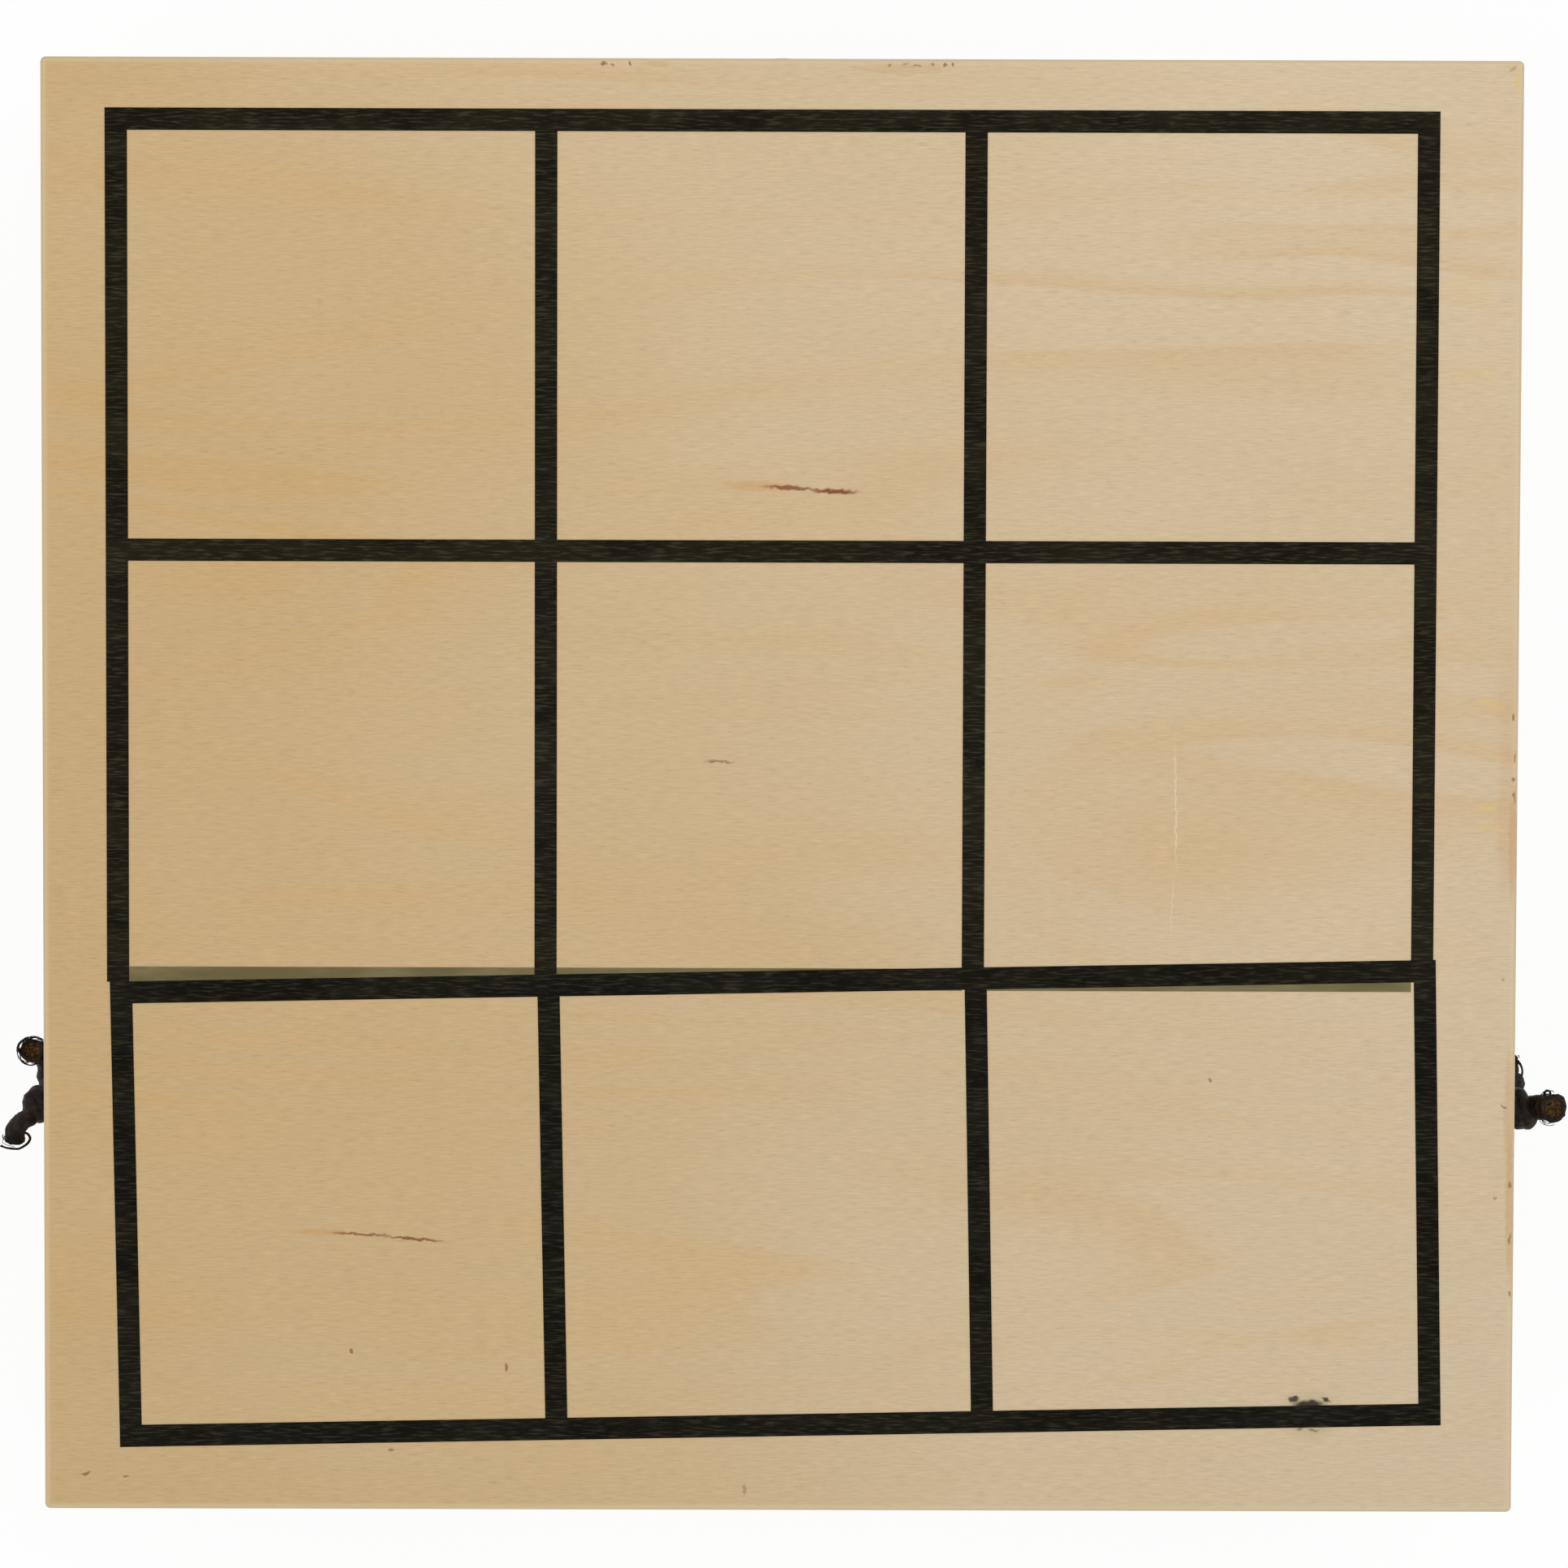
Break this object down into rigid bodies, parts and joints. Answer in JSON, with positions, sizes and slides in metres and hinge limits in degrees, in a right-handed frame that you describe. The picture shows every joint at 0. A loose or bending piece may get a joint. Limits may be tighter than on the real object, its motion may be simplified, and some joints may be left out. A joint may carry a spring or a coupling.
{
  "type": "hinged wooden game box",
  "caption": "Shallow square wooden game box with a hinged lid printed with a grid, leather cord lid stays knotted outside, a hook latch, and turned men inside.",
  "frame": {"origin": "centre of the underside, on the plane the box rests on", "axes": "+Z up through the lid; +X to the right and +Y up in the picture of the lid; the hinges are on the -Y side, the latch on the +Y side"},
  "size_m": [0.2176, 0.2026, 0.0521],
  "materials": {
    "birch_plywood": "pale sanded plywood, bare",
    "birch_rails": "pale sanded solid wood, bare",
    "printing_ink": "black printing ink, matt, wood grain showing through",
    "faint_ink": "thin brownish ink, matt",
    "aged_brass": "dull aged brass",
    "black_leather": "black dyed leather cord with a brown core, frayed at its cut ends",
    "light_men_wood": "pale turned wood, waxed",
    "dark_men_wood": "dark stained turned wood, waxed"
  },
  "bodies": {
    "base": {"base_panel": "birch_plywood", "base_latch_rail": "birch_rails", "base_hinge_rail": "birch_rails", "base_left_rail": "birch_rails", "base_right_rail": "birch_rails", "tray_divider": "birch_rails", "morris_board": "printing_ink", "hinge_base_leaves": "aged_brass", "hinge_pins": "aged_brass", "hinge_base_screws": "aged_brass", "latch_stud": "aged_brass", "left_base_knot": "black_leather", "left_stay_cord": "black_leather", "right_base_knot": "black_leather", "right_stay_cord": "black_leather", "light_men": "light_men_wood", "dark_men": "dark_men_wood"},
    "lid": {"lid_panel": "birch_plywood", "lid_latch_rail": "birch_rails", "lid_hinge_rail": "birch_rails", "lid_left_rail": "birch_rails", "lid_right_rail": "birch_rails", "grid_upper_pull": "printing_ink", "grid_lower_pull": "printing_ink", "grid_ghost": "faint_ink", "hinge_lid_leaves": "aged_brass", "hinge_lid_screws": "aged_brass", "latch_pivot_screw": "aged_brass", "latch_washer": "aged_brass", "left_lid_knot": "black_leather", "right_lid_knot": "black_leather"},
    "latch_hook": {"latch_hook": "aged_brass"}
  },
  "joints": [
    {"name": "lid_hinge", "type": "hinge", "parent": "base", "child": "lid", "pos_m": [0, -0.1004, 0.026], "axis": [1, 0, 0], "range_deg": [0, 110], "deforming": ["left_stay_cord", "right_stay_cord"]},
    {"name": "latch_pivot", "type": "hinge", "parent": "lid", "child": "latch_hook", "pos_m": [0, 0.0988, 0.032], "axis": [0, 1, 0], "range_deg": [0, 90]}
  ]
}
